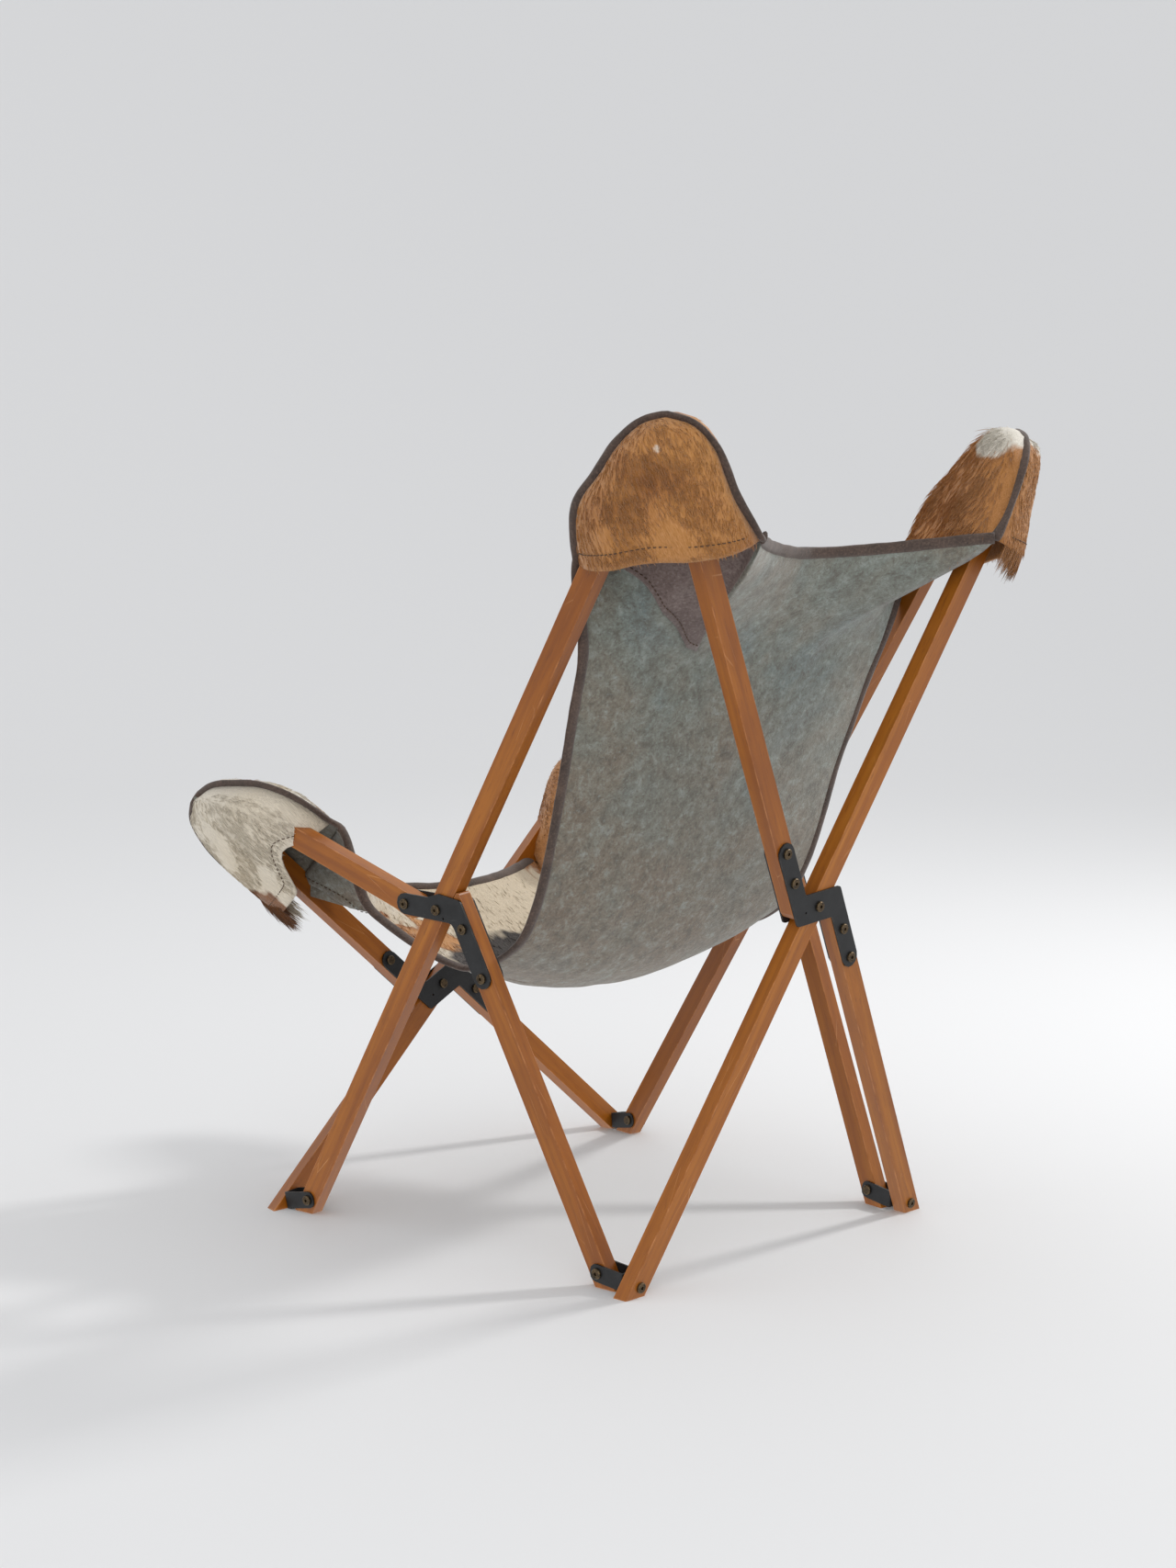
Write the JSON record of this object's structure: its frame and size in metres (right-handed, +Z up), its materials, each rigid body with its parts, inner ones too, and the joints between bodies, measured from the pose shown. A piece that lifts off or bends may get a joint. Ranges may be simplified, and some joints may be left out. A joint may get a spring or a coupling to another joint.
{
  "type": "folding sling chair",
  "caption": "Folding wooden lounge chair: scissor frames of sticks with steel brackets, hung with a hide sling by corner pockets.",
  "frame": {"origin": "centre of the chair's footprint box, on the floor", "axes": "+X the sitter's left, -Y the way the sitter faces, +Z up"},
  "size_m": [0.8412, 0.9166, 1.0496],
  "materials": {
    "beech": "oiled beech",
    "blackened_steel": "blackened satin",
    "bronzed_steel": "bronzed",
    "suede_hide": "suede side",
    "hair_hide": "hair on"
  },
  "bodies": {
    "hub": {"back_pivot_bolt": "bronzed_steel"},
    "back_split": {"back_upper_stick": "beech", "back_lower_stick": "beech", "back_plate_outer": "blackened_steel", "back_plate_inner": "blackened_steel", "back_upper_fixing_bolt_inner": "bronzed_steel", "back_upper_fixing_bolt_outer": "bronzed_steel", "back_lower_fixing_bolt_inner": "bronzed_steel", "back_lower_fixing_bolt_outer": "bronzed_steel", "foot_base_bolt_back_right": "bronzed_steel"},
    "back_long": {"back_long_stick": "beech", "foot_base_bolt_back_left": "bronzed_steel"},
    "side_long_left": {"side_long_stick_left": "beech"},
    "side_split_left": {"side_lower_stick_left": "beech", "side_plate_outer_left": "blackened_steel", "side_plate_inner_left": "blackened_steel", "side_pivot_bolt_left": "bronzed_steel", "elbow_bolt_left": "bronzed_steel", "side_fixing_bolt_upper_left": "bronzed_steel", "side_fixing_bolt_lower_left": "bronzed_steel"},
    "side_upper_left": {"side_upper_stick_left": "beech"},
    "side_long_right": {"side_long_stick_right": "beech"},
    "side_split_right": {"side_lower_stick_right": "beech", "side_plate_outer_right": "blackened_steel", "side_plate_inner_right": "blackened_steel", "side_pivot_bolt_right": "bronzed_steel", "elbow_bolt_right": "bronzed_steel", "side_fixing_bolt_upper_right": "bronzed_steel", "side_fixing_bolt_lower_right": "bronzed_steel"},
    "side_upper_right": {"side_upper_stick_right": "beech"},
    "front_long": {"front_long_stick": "beech", "foot_base_bolt_front_left": "bronzed_steel"},
    "front_split": {"front_upper_stick": "beech", "front_lower_stick": "beech", "front_plate_outer": "blackened_steel", "front_plate_inner": "blackened_steel", "front_pivot_bolt": "bronzed_steel", "front_upper_fixing_bolt_inner": "bronzed_steel", "front_upper_fixing_bolt_outer": "bronzed_steel", "front_lower_fixing_bolt_inner": "bronzed_steel", "front_lower_fixing_bolt_outer": "bronzed_steel", "foot_base_bolt_front_right": "bronzed_steel"},
    "tip_clevis_back_left": {"tip_clevis_back_left": "blackened_steel"},
    "foot_clevis_back_left": {"foot_clevis_back_left": "blackened_steel", "foot_cross_bolt_back_left": "bronzed_steel"},
    "tip_clevis_back_right": {"tip_clevis_back_right": "blackened_steel"},
    "foot_clevis_back_right": {"foot_clevis_back_right": "blackened_steel", "foot_cross_bolt_back_right": "bronzed_steel"},
    "tip_clevis_front_left": {"tip_clevis_front_left": "blackened_steel"},
    "foot_clevis_front_left": {"foot_clevis_front_left": "blackened_steel", "foot_cross_bolt_front_left": "bronzed_steel"},
    "tip_clevis_front_right": {"tip_clevis_front_right": "blackened_steel"},
    "foot_clevis_front_right": {"foot_clevis_front_right": "blackened_steel", "foot_cross_bolt_front_right": "bronzed_steel"},
    "sling_back": {"sling_back_panel": "suede_hide", "pocket_back_left": "hair_hide", "pocket_back_right": "hair_hide"},
    "sling_seat": {"sling_seat_panel": "suede_hide", "pocket_front_left": "hair_hide", "pocket_front_right": "hair_hide"}
  },
  "joints": [
    {"name": "fold", "type": "hinge", "parent": "hub", "child": "back_split", "pos_m": [0.0017, 0.35162, 0.45525], "axis": [0, -0.993, 0.118], "range_deg": [0, 22], "deforming": ["sling_back_panel", "pocket_back_left", "pocket_back_right", "sling_seat_panel", "pocket_front_left", "pocket_front_right"]},
    {"name": "back_long_pivot", "type": "hinge", "parent": "hub", "child": "back_long", "pos_m": [0.0017, 0.35162, 0.45525], "axis": [0, 0.993, -0.118], "range_deg": [0, 22.4]},
    {"name": "tip_back_left", "type": "hinge", "parent": "back_split", "child": "tip_clevis_back_left", "pos_m": [0.317, 0.41563, 0.99374], "axis": [0, 0.993, -0.118], "range_deg": [0, 19.47]},
    {"name": "side_long_tip_left", "type": "hinge", "parent": "tip_clevis_back_left", "child": "side_long_left", "pos_m": [0.317, 0.363, 1], "axis": [0.9934, 0.0943, -0.0659], "range_deg": [0, 18.36]},
    {"name": "tip_back_right", "type": "hinge", "parent": "back_long", "child": "tip_clevis_back_right", "pos_m": [-0.317, 0.41563, 0.99374], "axis": [0, 0.993, -0.118], "range_deg": [-19.54, 0]},
    {"name": "side_long_tip_right", "type": "hinge", "parent": "tip_clevis_back_right", "child": "side_long_right", "pos_m": [-0.317, 0.363, 1], "axis": [0.9934, -0.0943, 0.0659], "range_deg": [0, 18.09]},
    {"name": "side_pivot_left", "type": "hinge", "parent": "side_long_left", "child": "side_split_left", "pos_m": [0.31361, 0.01176, 0.44659], "axis": [0.9934, 0.0943, -0.0659], "range_deg": [-43.62, 0]},
    {"name": "elbow_left", "type": "hinge", "parent": "side_split_left", "child": "side_upper_left", "pos_m": [0.31894, -0.0425, 0.44931], "axis": [0.9934, 0.0943, -0.0659], "range_deg": [-31.16, 0]},
    {"name": "side_pivot_right", "type": "hinge", "parent": "side_long_right", "child": "side_split_right", "pos_m": [-0.31361, 0.01176, 0.44659], "axis": [0.9934, -0.0943, 0.0659], "range_deg": [-43.19, 0]},
    {"name": "elbow_right", "type": "hinge", "parent": "side_split_right", "child": "side_upper_right", "pos_m": [-0.31894, -0.0425, 0.44931], "axis": [0.9934, -0.0943, 0.0659], "range_deg": [-28.38, 0]},
    {"name": "foot_front_left", "type": "hinge", "parent": "side_long_left", "child": "foot_clevis_front_left", "pos_m": [0.311, -0.259, 0.02], "axis": [0.9934, 0.0943, -0.0659], "range_deg": [-26.26, 0]},
    {"name": "front_long_foot", "type": "hinge", "parent": "foot_clevis_front_left", "child": "front_long", "pos_m": [0.311, -0.31214, 0.0104], "axis": [0, -0.9841, -0.1778], "range_deg": [-40.65, 0]},
    {"name": "front_pivot", "type": "hinge", "parent": "front_long", "child": "front_split", "pos_m": [0.0016, -0.35714, 0.25955], "axis": [0, -0.9841, -0.1778], "range_deg": [0, 73.54]},
    {"name": "foot_back_left", "type": "hinge", "parent": "side_split_left", "child": "foot_clevis_back_left", "pos_m": [0.263, 0.2465, 0.02], "axis": [0.9934, 0.0943, -0.0659], "range_deg": [0, 25.66]},
    {"name": "foot_back_right", "type": "hinge", "parent": "side_split_right", "child": "foot_clevis_back_right", "pos_m": [-0.263, 0.2465, 0.02], "axis": [0.9934, -0.0943, 0.0659], "range_deg": [0, 25.5]},
    {"name": "tip_front_left", "type": "hinge", "parent": "side_upper_left", "child": "tip_clevis_front_left", "pos_m": [0.35586, -0.356, 0.557], "axis": [0.9934, 0.0943, -0.0659], "range_deg": [0, 48.52]},
    {"name": "tip_front_right", "type": "hinge", "parent": "side_upper_right", "child": "tip_clevis_front_right", "pos_m": [-0.35586, -0.356, 0.557], "axis": [0.9934, -0.0943, 0.0659], "range_deg": [0, 45.7]},
    {"name": "foot_front_right", "type": "hinge", "parent": "side_long_right", "child": "foot_clevis_front_right", "pos_m": [-0.311, -0.259, 0.02], "axis": [0.9934, -0.0943, 0.0659], "range_deg": [-25.94, 0]},
    {"name": "sling_rise", "type": "slide", "parent": "hub", "child": "sling_back", "axis": [0, 0.118, 0.993], "range_m": [0, 0.082]},
    {"name": "sling_crease", "type": "hinge", "parent": "sling_back", "child": "sling_seat", "pos_m": [0, -0.014, 0.3335], "axis": [1, 0, 0], "range_deg": [-72, 0]}
  ],
  "couplings": [
    {"joint": "back_long_pivot", "follows": "fold", "ratio": 0.99986},
    {"joint": "tip_back_left", "follows": "fold", "ratio": 0.86703},
    {"joint": "side_long_tip_left", "follows": "fold", "ratio": 0.81639},
    {"joint": "tip_back_right", "follows": "fold", "ratio": -0.87001},
    {"joint": "side_long_tip_right", "follows": "fold", "ratio": 0.80391},
    {"joint": "side_pivot_left", "follows": "fold", "ratio": -1.9645},
    {"joint": "elbow_left", "follows": "fold", "ratio": -1.3981},
    {"joint": "side_pivot_right", "follows": "fold", "ratio": -1.9448},
    {"joint": "elbow_right", "follows": "fold", "ratio": -1.2716},
    {"joint": "foot_front_left", "follows": "fold", "ratio": -1.1755},
    {"joint": "front_long_foot", "follows": "fold", "ratio": -1.8297},
    {"joint": "front_pivot", "follows": "fold", "ratio": 3.3245},
    {"joint": "foot_back_left", "follows": "fold", "ratio": 1.1481},
    {"joint": "foot_back_right", "follows": "fold", "ratio": 1.1409},
    {"joint": "tip_front_left", "follows": "fold", "ratio": 2.1871},
    {"joint": "tip_front_right", "follows": "fold", "ratio": 2.0593},
    {"joint": "foot_front_right", "follows": "fold", "ratio": -1.1607},
    {"joint": "sling_rise", "follows": "fold", "m_per_rad": 0.21095},
    {"joint": "sling_crease", "follows": "fold", "ratio": -3.2467}
  ]
}
